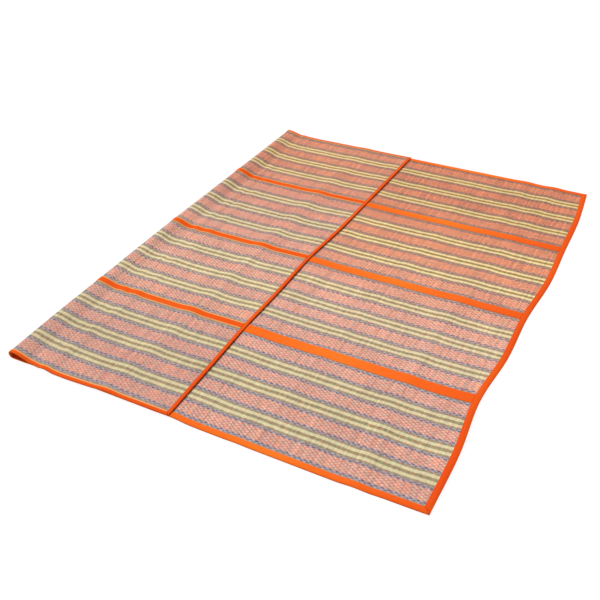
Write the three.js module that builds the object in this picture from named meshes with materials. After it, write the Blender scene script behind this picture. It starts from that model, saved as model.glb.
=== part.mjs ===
// Woven grass floor mat of four striped panels, joined and bound in orange cloth,
// lying on the floor with its left end folded over on top.
// Millimetres. X runs along the stripes from the fold to the right-hand edge,
// Y from the near edge to the far one, Z up. The origin is the bottom centre of the bounding box.

import * as THREE from 'three';

// Driving sizes.
const MAT_WIDTH = 1800;
const PANEL_COUNT = 4;
const PANEL_PITCH = MAT_WIDTH / PANEL_COUNT;
const PANEL_THICKNESS = 2;
const CLOTH_THICKNESS = 1;
const CLEARANCE = 0.3;
const BINDING_LAP = 20;
const BACK_LAP = 16;
const SEAM_WIDTH = 5;
const LAYER_GAP = 0.3;
const LOWER_SAG = 1.3;
const FLAP_SAG = 2.6;

// Half the thickness of the bound edge, from the middle of the panel to the outside of the cloth.
const CLOTH_INNER = PANEL_THICKNESS / 2 + CLEARANCE;
const CLOTH_OUTER = CLOTH_INNER + CLOTH_THICKNESS;
const LOWER_HEIGHT = CLOTH_OUTER;
const FLAP_HEIGHT = 3 * CLOTH_OUTER + LAYER_GAP;
const PANEL_END = CLOTH_THICKNESS + CLEARANCE;
const GRIP = 24;
const MITRE_GAP = 0.22;
const EDGE_LIFT_WIDTH = 160;

// Bands that join the panels, a row per band: where its middle runs, and how far its cloth
// laps over the panel on each side of that line on the face.
const BANDS = [
  { name: 'near_joining_band', y: PANEL_PITCH, faceLap: 20 },
  { name: 'middle_joining_band', y: 2 * PANEL_PITCH, faceLap: 17.5 },
  { name: 'far_joining_band', y: 3 * PANEL_PITCH, faceLap: 17 },
];

// Outline of the folded mat, a row per section from the near edge to the far one.
// foldX: outermost line of the fold. foldTop: its height over the floor.
// landX: where the flap comes to lie on the lower layer. flapX: free edge of the flap.
// rightX: right-hand edge. rightLift: how far that edge stands off the floor.
const SECTIONS = [
  { y: 0, foldX: -106, foldTop: 28, landX: 0, flapX: 505, rightX: 1292, rightLift: 4 },
  { y: 225, foldX: -115, foldTop: 25, landX: -2, flapX: 497, rightX: 1290, rightLift: 9 },
  { y: 450, foldX: -118, foldTop: 23.5, landX: -28, flapX: 489, rightX: 1271, rightLift: 8 },
  { y: 675, foldX: -120, foldTop: 24.5, landX: -36, flapX: 489, rightX: 1283, rightLift: 2 },
  { y: 900, foldX: -119, foldTop: 27, landX: -34, flapX: 485, rightX: 1278, rightLift: 0 },
  { y: 1125, foldX: -115, foldTop: 29, landX: -24, flapX: 497, rightX: 1291, rightLift: 0 },
  { y: 1350, foldX: -109, foldTop: 34, landX: -12, flapX: 501, rightX: 1284, rightLift: 0 },
  { y: 1575, foldX: -109, foldTop: 31, landX: -10, flapX: 503, rightX: 1278, rightLift: 0 },
  { y: 1800, foldX: -112, foldTop: 25, landX: -15, flapX: 505, rightX: 1257, rightLift: 0 },
];

// Old creases that cross the stripes, a row per crease: where its crest runs at the near edge,
// in the middle and at the far edge, how high it stands there, and half its width.
const CREASES = [
  { on: 'flap', near: -8, middle: -6, far: -17, riseNear: 1.5, riseMiddle: 3, riseFar: 3.2, half: 24 },
  { on: 'flap', near: 43, middle: 52, far: 20, riseNear: 4.5, riseMiddle: 3, riseFar: 1, half: 34 },
  { on: 'flap', near: 276, middle: 285, far: 290, riseNear: 4, riseMiddle: 5.5, riseFar: 2, half: 58 },
  { on: 'flap', near: 425, middle: 425, far: 425, riseNear: 0, riseMiddle: 2.2, riseFar: 0, half: 110 },
  { on: 'both', near: 525, middle: 515, far: 505, riseNear: 1.5, riseMiddle: 3.5, riseFar: 0.5, half: 95 },
  { on: 'lower', near: 730, middle: 805, far: 830, riseNear: 1.2, riseMiddle: 1.8, riseFar: 0.6, half: 45 },
  { on: 'lower', near: 1085, middle: 1028, far: 1012, riseNear: 3.6, riseMiddle: 1.6, riseFar: 3, half: 55 },
  { on: 'lower', near: 1040, middle: 1060, far: 1130, riseNear: 0, riseMiddle: 2, riseFar: 3.7, half: 50 },
];

// Stations along the stripes: distances in from an edge, fixed places, and steps round the fold.
const RIGHT_INSETS = [PANEL_END, GRIP, 60];
const LOWER_PLACES = [1170, 1130, 1095, 1060, 1025, 990, 945, 850, 805, 760, 700, 600, 515, 430, 240, 60];
const LOOP_STEPS = 6;
const DESCENT_STEPS = 5;
const FLAP_PLACES = [22, 48, 80, 170, 225, 255, 285, 315, 350, 400];
const FLAP_INSETS = [60, GRIP, PANEL_END];

// Smooth curve through one column of the section table.
function section(column, y) {
  const last = SECTIONS.length - 1;
  let i = 0;
  while (i < last - 1 && y > SECTIONS[i + 1].y) {
    i += 1;
  }
  const before = SECTIONS[Math.max(i - 1, 0)];
  const a = SECTIONS[i];
  const b = SECTIONS[i + 1];
  const after = SECTIONS[Math.min(i + 2, last)];
  const span = b.y - a.y;
  const t = (y - a.y) / span;
  const slopeA = (b[column] - before[column]) / (b.y - before.y) * span;
  const slopeB = (after[column] - a[column]) / (after.y - a.y) * span;
  const t2 = t * t;
  const t3 = t2 * t;
  const fromA = (2 * t3 - 3 * t2 + 1) * a[column] + (t3 - 2 * t2 + t) * slopeA;
  const fromB = (3 * t2 - 2 * t3) * b[column] + (t3 - t2) * slopeB;
  return fromA + fromB;
}

// Parabola through the near, middle and far values of a crease.
function through(nearValue, middleValue, farValue, y) {
  const t = y / MAT_WIDTH;
  const nearPart = nearValue * (1 - t) * (1 - 2 * t);
  const middlePart = middleValue * 4 * t * (1 - t);
  const farPart = farValue * t * (2 * t - 1);
  return nearPart + middlePart + farPart;
}

function bump(distance, half) {
  const t = Math.min(Math.abs(distance) / half, 1);
  return (1 + Math.cos(Math.PI * t)) / 2;
}

function creaseRise(layer, x, y) {
  let rise = 0;
  for (const crease of CREASES) {
    if (crease.on !== layer && crease.on !== 'both') {
      continue;
    }
    const crest = through(crease.near, crease.middle, crease.far, y);
    const height = Math.max(through(crease.riseNear, crease.riseMiddle, crease.riseFar, y), 0);
    rise += height * bump(x - crest, crease.half);
  }
  return rise;
}

// How far the panel has sunk between the bands, from 0 at the cloth to 1 in the open.
function openness(y) {
  const toBand = Math.abs(y - Math.round(y / PANEL_PITCH) * PANEL_PITCH);
  return THREE.MathUtils.smoothstep(toBand, BINDING_LAP, 110);
}

// The long edges of the two layers do not lie exactly over each other, nor quite straight.
function nearFade(y) {
  return Math.max(1 - y / 220, 0) ** 2;
}

function farFade(y) {
  return Math.max(1 - (MAT_WIDTH - y) / 220, 0) ** 2;
}

function lowerEdgeDrift(x, y) {
  const underFlap = 3 * THREE.MathUtils.smoothstep(x, -60, 40);
  const beyondFlap = -4.5 * THREE.MathUtils.smoothstep(x, 500, 580);
  const nearCorner = 4 * THREE.MathUtils.smoothstep(x, 1080, 1180);
  const farCorner = -3 * THREE.MathUtils.smoothstep(x, 980, 1120);
  return (underFlap + beyondFlap + nearCorner) * nearFade(y) + farCorner * farFade(y);
}

function flapEdgeDrift(x, y) {
  const overhang = 7 * bump(x - 110, 190);
  const farRecess = THREE.MathUtils.smoothstep(x, -60, 60);
  return -overhang * nearFade(y) - farRecess * farFade(y);
}

function lowerStation(x, y, sink) {
  const inset = section('rightX', y) - x;
  const lift = Math.max(section('rightLift', y), 0) * Math.max(1 - inset / EDGE_LIFT_WIDTH, 0) ** 2;
  const sag = LOWER_SAG * sink * openness(y);
  const height = LOWER_HEIGHT + creaseRise('lower', x, y) + lift - sag;
  return { x, y: y + lowerEdgeDrift(x, y), z: height };
}

function flapStation(x, y, height, sink) {
  const sag = FLAP_SAG * sink * openness(y);
  return { x, y: y + flapEdgeDrift(x, y), z: height + creaseRise('flap', x, y) - sag };
}

// Middle surface of the mat across one section, from the right-hand edge along the floor,
// round the fold and back along the flap to its free edge.
function sectionPath(y) {
  const rightX = section('rightX', y);
  const flapX = section('flapX', y);
  const radius = (section('foldTop', y) - 2 * CLOTH_OUTER) / 2;
  const loopX = section('foldX', y) + CLOTH_OUTER + radius;
  const landX = section('landX', y);
  const path = [];
  for (const inset of RIGHT_INSETS) {
    path.push(lowerStation(rightX - inset, y, inset > GRIP ? 0.6 : 0));
  }
  for (const x of LOWER_PLACES) {
    path.push(lowerStation(x, y, 1));
  }
  path.push(lowerStation(loopX + 45, y, 0.6));
  const bottom = lowerStation(loopX, y, 0);
  for (let i = 0; i <= LOOP_STEPS; i += 1) {
    const turn = Math.PI * i / LOOP_STEPS;
    const shift = (bottom.y - y) * (1 - i / LOOP_STEPS);
    path.push({
      x: loopX - radius * Math.sin(turn),
      y: y + shift,
      z: LOWER_HEIGHT + radius * (1 - Math.cos(turn)),
    });
  }
  const crest = LOWER_HEIGHT + 2 * radius;
  for (let i = 1; i <= DESCENT_STEPS; i += 1) {
    const t = i / DESCENT_STEPS;
    const x = loopX + (landX - loopX) * t;
    const height = FLAP_HEIGHT + (crest - FLAP_HEIGHT) * bump(t, 1);
    path.push(flapStation(x, y, height, 0.6 * t));
  }
  for (const x of FLAP_PLACES) {
    path.push(flapStation(x, y, FLAP_HEIGHT, 1));
  }
  for (const inset of FLAP_INSETS) {
    path.push(flapStation(flapX - inset, y, FLAP_HEIGHT, inset > GRIP ? 0.6 : 0));
  }
  return path;
}

// Direction of the face side at each station, square to the path.
function faceNormals(path) {
  return path.map((station, i) => {
    const a = path[Math.max(i - 1, 0)];
    const b = path[Math.min(i + 1, path.length - 1)];
    const before = new THREE.Vector2(station.x - a.x, station.z - a.z);
    const after = new THREE.Vector2(b.x - station.x, b.z - station.z);
    const along = before.normalize().add(after.normalize()).normalize();
    return new THREE.Vector2(along.y, -along.x);
  });
}

function offsetPoint(station, normal, height) {
  return new THREE.Vector3(station.x + normal.x * height, station.y, station.z + normal.y * height);
}

// Closed body through rings of points; endTriangles closes both ends with the points' numbers.
function bodyThroughRings(rings, endTriangles) {
  const count = rings[0].length;
  const positions = [];
  const addTriangle = (a, b, c) => {
    positions.push(...a.toArray(), ...b.toArray(), ...c.toArray());
  };
  for (let i = 0; i < rings.length - 1; i += 1) {
    for (let j = 0; j < count; j += 1) {
      const next = (j + 1) % count;
      addTriangle(rings[i][j], rings[i + 1][j], rings[i + 1][next]);
      addTriangle(rings[i][j], rings[i + 1][next], rings[i][next]);
    }
  }
  const first = rings[0];
  const final = rings[rings.length - 1];
  for (const [a, b, c] of endTriangles) {
    addTriangle(first[a], first[b], first[c]);
    addTriangle(final[c], final[b], final[a]);
  }
  return outwardGeometry(positions);
}

// Turns the triangles so that the enclosed volume counts as positive.
function outwardGeometry(positions) {
  const a = new THREE.Vector3();
  const b = new THREE.Vector3();
  const c = new THREE.Vector3();
  let volume = 0;
  for (let i = 0; i < positions.length; i += 9) {
    a.fromArray(positions, i);
    b.fromArray(positions, i + 3);
    c.fromArray(positions, i + 6);
    volume += a.dot(b.cross(c)) / 6;
  }
  if (volume < 0) {
    for (let i = 0; i < positions.length; i += 9) {
      const swapped = positions.slice(i + 3, i + 6);
      positions.splice(i + 3, 3, ...positions.slice(i + 6, i + 9));
      positions.splice(i + 6, 3, ...swapped);
    }
  }
  const geometry = new THREE.BufferGeometry();
  geometry.setAttribute('position', new THREE.Float32BufferAttribute(positions, 3));
  geometry.computeVertexNormals();
  return geometry;
}

// One point of the mat where a cloth end is cut on the slant at a corner.
function cornerPoint(path, atRight, inset, height) {
  const edge = atRight ? path[0] : path[path.length - 1];
  const grip = atRight ? path[1] : path[path.length - 2];
  const t = (inset - PANEL_END) / (GRIP - PANEL_END);
  const station = {
    x: edge.x + (grip.x - edge.x) * t,
    y: edge.y + (grip.y - edge.y) * t,
    z: edge.z + (grip.z - edge.z) * t,
  };
  const along = new THREE.Vector2(grip.x - edge.x, grip.z - edge.z).normalize();
  const sign = atRight ? 1 : -1;
  const normal = new THREE.Vector2(along.y * sign, -along.x * sign);
  return offsetPoint(station, normal, height);
}

// Ends of a cloth piece, from its outline in width and height, wound as the sides are.
function clothEnds(profile) {
  const triangles = THREE.ShapeUtils.triangulateShape(profile, []);
  return THREE.ShapeUtils.isClockWise(profile) ? triangles.map(([a, b, c]) => [c, b, a]) : triangles;
}

// Ends of a panel whose outline goes out along its upper side and back along its underside.
function panelEnds(rowCount) {
  const last = 2 * rowCount - 1;
  const triangles = [];
  for (let j = 0; j < rowCount - 1; j += 1) {
    triangles.push([j, j + 1, last - j - 1], [j, last - j - 1, last - j]);
  }
  return triangles;
}

// Piece that runs the whole length of the stripes, from an outline in width and height.
// endInset gives how far in from the mat's ends the piece stops at each outline point.
function alongStripes(profile, endInset, endTriangles) {
  const columns = profile.map((corner) => {
    const path = sectionPath(corner.x);
    const normals = faceNormals(path);
    const inset = endInset(corner.x);
    const points = path.map((station, i) => offsetPoint(station, normals[i], corner.y));
    points[0] = cornerPoint(path, true, inset, corner.y);
    points[points.length - 1] = cornerPoint(path, false, inset, corner.y);
    return points;
  });
  const rings = columns[0].map((_, i) => columns.map((points) => points[i]));
  return bodyThroughRings(rings, endTriangles);
}

function panelGeometry(index) {
  const start = index * PANEL_PITCH;
  const end = start + PANEL_PITCH;
  const low = index === 0 ? PANEL_END : start + SEAM_WIDTH / 2;
  const high = index === PANEL_COUNT - 1 ? MAT_WIDTH - PANEL_END : end - SEAM_WIDTH / 2;
  const rows = [low, ...openRows(index), high];
  const half = PANEL_THICKNESS / 2;
  const upper = rows.map((y) => new THREE.Vector2(y, half));
  const under = rows.map((y) => new THREE.Vector2(y, -half)).reverse();
  return alongStripes([...upper, ...under], () => PANEL_END, panelEnds(rows.length));
}

// Rows across one panel between the laps of its two bands.
function openRows(index) {
  const start = index * PANEL_PITCH + BINDING_LAP;
  const span = PANEL_PITCH - 2 * BINDING_LAP;
  return [0, 0.25, 0.5, 0.75, 1].map((part) => start + span * part);
}

// Band that grips the two panels beside it, with a wide lap on the face and a narrow one behind.
function bandGeometry(band) {
  const core = SEAM_WIDTH / 2 - CLEARANCE;
  const half = [
    [band.faceLap, CLOTH_OUTER],
    [band.faceLap, CLOTH_INNER],
    [core, CLOTH_INNER],
    [core, -CLOTH_INNER],
    [BACK_LAP, -CLOTH_INNER],
    [BACK_LAP, -CLOTH_OUTER],
  ];
  const farSide = half.map(([width, height]) => new THREE.Vector2(band.y + width, height));
  const nearSide = half.map(([width, height]) => new THREE.Vector2(band.y - width, height)).reverse();
  const profile = [...farSide, ...nearSide];
  return alongStripes(profile, () => BINDING_LAP + CLEARANCE, clothEnds(profile));
}

// Outline of the cloth folded round an edge, in distance from that edge and height.
const EDGE_OUTLINE = [
  [0, CLOTH_OUTER],
  [0, -CLOTH_OUTER],
  [BACK_LAP, -CLOTH_OUTER],
  [BACK_LAP, -CLOTH_INNER],
  [CLOTH_THICKNESS, -CLOTH_INNER],
  [CLOTH_THICKNESS, CLOTH_INNER],
  [BINDING_LAP, CLOTH_INNER],
  [BINDING_LAP, CLOTH_OUTER],
];

function longBinding(isFar) {
  const profile = EDGE_OUTLINE.map(([width, height]) => {
    return new THREE.Vector2(isFar ? MAT_WIDTH - width : width, height);
  });
  const mitre = (y) => (isFar ? MAT_WIDTH - y : y) + MITRE_GAP;
  return alongStripes(profile, mitre, clothEnds(profile));
}

// Binding across the stripes at the right-hand edge or at the free edge of the flap.
function crossBinding(atRight) {
  const rows = [GRIP];
  for (let index = 0; index < PANEL_COUNT; index += 1) {
    rows.push(...openRows(index).slice(index === 0 ? 1 : 0, index === PANEL_COUNT - 1 ? -1 : undefined));
  }
  rows.push(MAT_WIDTH - GRIP);
  const paths = rows.map((y) => sectionPath(y));
  const profile = EDGE_OUTLINE.map(([inset, height]) => new THREE.Vector2(inset, height));
  const ringAt = (pathFor) => profile.map((corner) => {
    return cornerPoint(pathFor(corner.x), atRight, corner.x, corner.y);
  });
  const rings = [
    ringAt((inset) => sectionPath(inset + MITRE_GAP)),
    ...paths.map((path) => ringAt(() => path)),
    ringAt((inset) => sectionPath(MAT_WIDTH - inset - MITRE_GAP)),
  ];
  return bodyThroughRings(rings, clothEnds(profile));
}

const grassColour = new THREE.Color('#d9a17f');
const clothColour = new THREE.Color('#f9641c');

function grassMaterial() {
  return new THREE.MeshStandardMaterial({ color: grassColour, roughness: 0.7, metalness: 0 });
}

function clothMaterial() {
  return new THREE.MeshStandardMaterial({ color: clothColour, roughness: 0.85, metalness: 0 });
}

const pieces = [];

function addPiece(name, geometry, material) {
  const mesh = new THREE.Mesh(geometry, material);
  mesh.name = name;
  pieces.push(mesh);
}

const PANEL_NAMES = ['near_panel', 'near_middle_panel', 'far_middle_panel', 'far_panel'];
PANEL_NAMES.forEach((name, index) => addPiece(name, panelGeometry(index), grassMaterial()));

BANDS.forEach((band) => addPiece(band.name, bandGeometry(band), clothMaterial()));

addPiece('near_edge_binding', longBinding(false), clothMaterial());
addPiece('far_edge_binding', longBinding(true), clothMaterial());
addPiece('right_edge_binding', crossBinding(true), clothMaterial());
addPiece('flap_edge_binding', crossBinding(false), clothMaterial());

// Brings the bottom centre of the bounding box to the origin.
const bounds = new THREE.Box3();
for (const mesh of pieces) {
  mesh.geometry.computeBoundingBox();
  bounds.union(mesh.geometry.boundingBox);
}
const centre = bounds.getCenter(new THREE.Vector3());
const mat = new THREE.Group();
for (const mesh of pieces) {
  mesh.geometry.translate(-centre.x, -centre.y, -bounds.min.z);
  mat.add(mesh);
}

export default mat;
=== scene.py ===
"""Woven grass floor mat of four striped panels, joined and bound in orange cloth.

It lies on the floor with its left end folded over on top. The frame is in metres: X along the
stripes from the fold to the right-hand edge, Y from the near edge to the far one, Z up. The
mat's own sizes below are in millimetres.
"""

import math
from collections import namedtuple

import bpy
import numpy as np
from mathutils import Matrix, Vector


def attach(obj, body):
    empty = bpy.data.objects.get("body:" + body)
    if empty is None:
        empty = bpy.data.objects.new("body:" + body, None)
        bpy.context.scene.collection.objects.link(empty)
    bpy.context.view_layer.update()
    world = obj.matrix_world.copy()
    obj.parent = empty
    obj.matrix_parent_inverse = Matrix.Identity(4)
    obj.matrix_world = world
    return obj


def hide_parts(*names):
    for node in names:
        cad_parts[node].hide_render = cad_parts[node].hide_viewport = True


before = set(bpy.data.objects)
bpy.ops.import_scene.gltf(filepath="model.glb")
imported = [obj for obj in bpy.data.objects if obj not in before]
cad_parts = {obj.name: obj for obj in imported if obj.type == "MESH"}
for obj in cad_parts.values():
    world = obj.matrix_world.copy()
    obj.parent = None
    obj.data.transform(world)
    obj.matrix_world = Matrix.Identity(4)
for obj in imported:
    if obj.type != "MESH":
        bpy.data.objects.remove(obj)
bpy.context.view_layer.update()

MM = 0.001

# Driving sizes.
MAT_WIDTH = 1800
PANEL_COUNT = 4
PANEL_PITCH = MAT_WIDTH / PANEL_COUNT
PANEL_THICKNESS = 2
CLOTH_THICKNESS = 1
CLEARANCE = 0.3
SEAM_WIDTH = 5
MITRE_GAP = 0.22

# Laps of the cloth over the grass: of the bindings on the face, of the cloth on the back, and of
# the flap's own binding, which is narrower and the same on both sides.
BINDING_LAP = 20
BACK_LAP = 16
FLAP_LAP = 12.5

# The two sides of the cloth, from the middle of the mat, and the panel's end inside a binding.
CLOTH_INNER = PANEL_THICKNESS / 2 + CLEARANCE
CLOTH_OUTER = CLOTH_INNER + CLOTH_THICKNESS
PANEL_END = CLOTH_THICKNESS + CLEARANCE

# Heights over the floor of the middle of the mat, in each of its layers.
LAYER_GAP = 0.3
LOWER_HEIGHT = CLOTH_OUTER
FLAP_HEIGHT = 3 * CLOTH_OUTER + LAYER_GAP

# The cross bindings keep the ends straight over the grip. From there and from the bands the
# grass sags more and more, as far as the sag's reach, and beside the fold over the loop's reach.
GRIP = 24
SAG_REACH = 110
LOOP_REACH = 90
LOWER_SAG = 1.3
FLAP_SAG = 2.6

# The flap has this share of its sag where it lands, and all of it one landing length further.
LANDING_SHARE = 0.6
LANDING_LENGTH = 40

# Heights of the slow and quick ripples in the grass. The flap has another stretch of the same.
SLOW_RIPPLE = 0.3
QUICK_RIPPLE = 0.12
FLAP_RIPPLE_SHIFT = (350, 90)

# Where the frame's origin lies in the measure of the section table.
ORIGIN = np.array([586.54, 896.711, 0.0])

# Outline of the folded mat, a row per section from the near edge to the far one.
# fold_x: outermost line of the fold. fold_top: its height over the floor.
# land_x: where the flap comes to lie on the lower layer. flap_x: free edge of the flap.
# right_x: right-hand edge. right_lift: how far it stands off the floor, over the lift's width.
Section = namedtuple("Section", "y fold_x fold_top land_x flap_x right_x right_lift")
SECTIONS = [
    Section(0, -106, 28, 0, 505, 1292, 4),
    Section(225, -115, 25, -2, 497, 1290, 9),
    Section(450, -118, 23.5, -28, 489, 1271, 8),
    Section(675, -120, 24.5, -36, 489, 1283, 2),
    Section(900, -119, 27, -34, 485, 1278, 0),
    Section(1125, -115, 29, -24, 497, 1291, 0),
    Section(1350, -109, 34, -12, 501, 1284, 0),
    Section(1575, -109, 31, -10, 503, 1278, 0),
    Section(1800, -112, 25, -15, 505, 1257, 0),
]
EDGE_LIFT_WIDTH = 160

# Old creases that cross the stripes, a row per crease: where its crest runs at the near edge,
# in the middle and at the far edge, how high it stands there, and half its width.
Crease = namedtuple("Crease", "on near middle far rise_near rise_middle rise_far half")
CREASES = [
    Crease("flap", -8, -6, -17, 1.5, 3, 3.2, 24),
    Crease("flap", 43, 52, 20, 4.5, 3, 1, 34),
    Crease("flap", 276, 285, 290, 4, 5.5, 2, 58),
    Crease("flap", 425, 425, 425, 0, 2.2, 0, 110),
    Crease("both", 525, 515, 505, 1.5, 3.5, 0.5, 95),
    Crease("lower", 730, 805, 830, 1.2, 1.8, 0.6, 45),
    Crease("lower", 1085, 1028, 1012, 3.6, 1.6, 2.2, 55),
    Crease("lower", 1040, 1060, 1130, 0, 2, 2.6, 50),
]

# Where the long edges stray across the stripes: from which place along the stripes to which
# they come to it, and how far. It dies out over the reach, away from the edge.
Drift = namedtuple("Drift", "on edge start end shift")
DRIFTS = [
    Drift("lower", "near", -60, 40, 3),
    Drift("lower", "near", 500, 580, -4.5),
    Drift("lower", "near", 1080, 1180, 4),
    Drift("lower", "far", 980, 1120, -3),
    Drift("flap", "far", -60, 60, -1),
]
DRIFT_REACH = 220

# Near the fold the flap's near edge bulges out over the lower layer: how far, around which place
# along the stripes, and half the length of the bulge.
OVERHANG = 7
OVERHANG_PLACE = 110
OVERHANG_HALF = 190

# Bands that join the panels: where the middle runs, and how far the cloth laps on the face.
Band = namedtuple("Band", "name y face_lap")
BANDS = [
    Band("near_joining_band", PANEL_PITCH, 20),
    Band("middle_joining_band", 2 * PANEL_PITCH, 17.5),
    Band("far_joining_band", 3 * PANEL_PITCH, 17),
]
PANELS = ["near_panel", "near_middle_panel", "far_middle_panel", "far_panel"]

# Steps along the stripes in each stretch of the mat, the rows across one panel, and the places
# across the mat of the rows of a cross binding.
END_STEPS = 4
LOWER_STEPS = 176
LOOP_STEPS = 18
DESCENT_STEPS = 16
FLAP_STEPS = 66
PANEL_ROWS = 66
CROSS_ROWS = np.arange(GRIP, MAT_WIDTH - GRIP + 1, 8)

# The studio. Places are in metres in the frame, angles in degrees, lens and sensor in millimetres.
CAMERA_PLACE = (1.1299, -2.2396, 1.6649)
CAMERA_HEADING = 29.728
CAMERA_DIP = 35.7
CAMERA_ROLL = -2.205
CAMERA_LENS = 50.77
CAMERA_SENSOR = 36
KEY_AIM = (1.5, -0.6, -3.4)
KEY_SPREAD = 30
KEY_STRENGTH = 3.3
SKY_STRENGTH = 0.3
FLOOR_SIZE = 60
FLOOR_GREY = 0.08
FLOOR_GLOW = 0.92


def make_camera():
    """Camera at the photograph's viewing angle."""
    data = bpy.data.cameras.new("camera")
    data.sensor_width = CAMERA_SENSOR
    data.lens = CAMERA_LENS
    data.clip_start = 0.05
    data.clip_end = 100
    camera = bpy.data.objects.new("camera", data)
    bpy.context.scene.collection.objects.link(camera)
    heading = Matrix.Rotation(math.radians(CAMERA_HEADING), 4, "Z")
    tilt = Matrix.Rotation(math.radians(90 - CAMERA_DIP), 4, "X")
    roll = Matrix.Rotation(math.radians(CAMERA_ROLL), 4, "Z")
    camera.matrix_world = Matrix.Translation(CAMERA_PLACE) @ heading @ tilt @ roll
    bpy.context.scene.camera = camera


def smoothstep(value, low, high):
    """0 up to low and 1 from high on, with a smooth rise between them."""
    t = np.clip((value - low) / (high - low), 0, 1)
    return t * t * (3 - 2 * t)


def bump(distance, half):
    """Round bump, 1 high in its middle and 0 from half its width on."""
    t = np.minimum(np.abs(distance) / half, 1)
    return (1 + np.cos(math.pi * t)) / 2


def section(column, y):
    """Smooth curve through one column of the section table."""
    rows = np.array([row.y for row in SECTIONS], float)
    values = np.array([getattr(row, column) for row in SECTIONS], float)
    last = len(SECTIONS) - 1
    i = np.clip(np.searchsorted(rows, y) - 1, 0, last - 1)
    before = np.maximum(i - 1, 0)
    after = np.minimum(i + 2, last)
    span = rows[i + 1] - rows[i]
    t = (y - rows[i]) / span
    slope_a = (values[i + 1] - values[before]) / (rows[i + 1] - rows[before]) * span
    slope_b = (values[after] - values[i]) / (rows[after] - rows[i]) * span
    from_a = (2 * t**3 - 3 * t**2 + 1) * values[i] + (t**3 - 2 * t**2 + t) * slope_a
    from_b = (3 * t**2 - 2 * t**3) * values[i + 1] + (t**3 - t**2) * slope_b
    return from_a + from_b


def through(near, middle, far, y):
    """Parabola through the near, middle and far values of a crease."""
    t = y / MAT_WIDTH
    return near * (1 - t) * (1 - 2 * t) + middle * 4 * t * (1 - t) + far * t * (2 * t - 1)


def crease_rise(layer, x, y):
    """Height of the old creases in one layer."""
    rise = 0.0
    for crease in CREASES:
        if crease.on in (layer, "both"):
            crest = through(crease.near, crease.middle, crease.far, y)
            height = through(crease.rise_near, crease.rise_middle, crease.rise_far, y)
            rise = rise + np.maximum(height, 0) * bump(x - crest, crease.half)
    return rise


def edge_share(edge, y):
    """How much a place has of what its long edge does: 1 at that edge, 0 out of its reach."""
    to_edge = y if edge == "near" else MAT_WIDTH - y
    return np.maximum(1 - to_edge / DRIFT_REACH, 0) ** 2


def edge_drift(layer, x, y):
    """How far one layer strays across the stripes."""
    drift = 0.0
    for row in DRIFTS:
        if row.on == layer:
            drift = drift + row.shift * smoothstep(x, row.start, row.end) * edge_share(row.edge, y)
    return drift


def openness(y):
    """How far the panel has sunk between the bands, from 0 at the cloth to 1 in the open."""
    to_band = np.abs(y - np.round(y / PANEL_PITCH) * PANEL_PITCH)
    return smoothstep(to_band, BINDING_LAP, SAG_REACH)


def ripple(x, y):
    """Slight unevenness of the woven grass. Its waves are 2 pi times each divisor long."""
    slow = np.sin(x / 41 + 2.1 * np.sin(y / 173)) * np.sin(y / 67 + 1.3 * np.sin(x / 211))
    quick = np.sin(x / 17 + y / 59 + 1.7 * np.sin(y / 83))
    return (SLOW_RIPPLE * slow + QUICK_RIPPLE * quick) * openness(y)


def fold_loop(y):
    """Radius of the loop in the fold, and where the loop starts and ends along the stripes."""
    radius = (section("fold_top", y) - 2 * CLOTH_OUTER) / 2
    return radius, section("fold_x", y) + CLOTH_OUTER + radius


def lower_layer(x, y, loop_x):
    """Middle of the mat where it lies on the floor."""
    x = np.asarray(x, float)
    inset = section("right_x", y) - x
    lift = np.maximum(section("right_lift", y), 0) * np.maximum(1 - inset / EDGE_LIFT_WIDTH, 0) ** 2
    slack = np.minimum(smoothstep(inset, GRIP, SAG_REACH), smoothstep(x - loop_x, 0, LOOP_REACH))
    relief = (ripple(x, y) + SLOW_RIPPLE + QUICK_RIPPLE) * slack
    sag = LOWER_SAG * openness(y) * slack
    z = LOWER_HEIGHT + crease_rise("lower", x, y) + lift + relief - sag
    return np.stack([x, y + edge_drift("lower", x, y), z], axis=-1)


def flap_layer(x, y, loop_x, height):
    """Middle of the mat where it is folded over."""
    x = np.asarray(x, float)
    inset = section("flap_x", y) - x
    land_x = section("land_x", y)
    coming_down = np.clip((x - loop_x) / (land_x - loop_x), 0, 1)
    landed = smoothstep(x, land_x, land_x + LANDING_LENGTH)
    arrival = LANDING_SHARE * coming_down + (1 - LANDING_SHARE) * landed
    slack = np.minimum(smoothstep(inset, GRIP, SAG_REACH), arrival)
    overhang = OVERHANG * bump(x - OVERHANG_PLACE, OVERHANG_HALF) * edge_share("near", y)
    relief = ripple(x + FLAP_RIPPLE_SHIFT[0], y + FLAP_RIPPLE_SHIFT[1]) * slack
    z = height + crease_rise("flap", x, y) + relief - FLAP_SAG * openness(y) * slack
    return np.stack([x, y - overhang + edge_drift("flap", x, y), z], axis=-1)


def distance_walked(points):
    """Distance walked along a line of points, at each of them."""
    steps = np.linalg.norm(np.diff(points, axis=0), axis=1)
    return np.concatenate([[0], np.cumsum(steps)])


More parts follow.
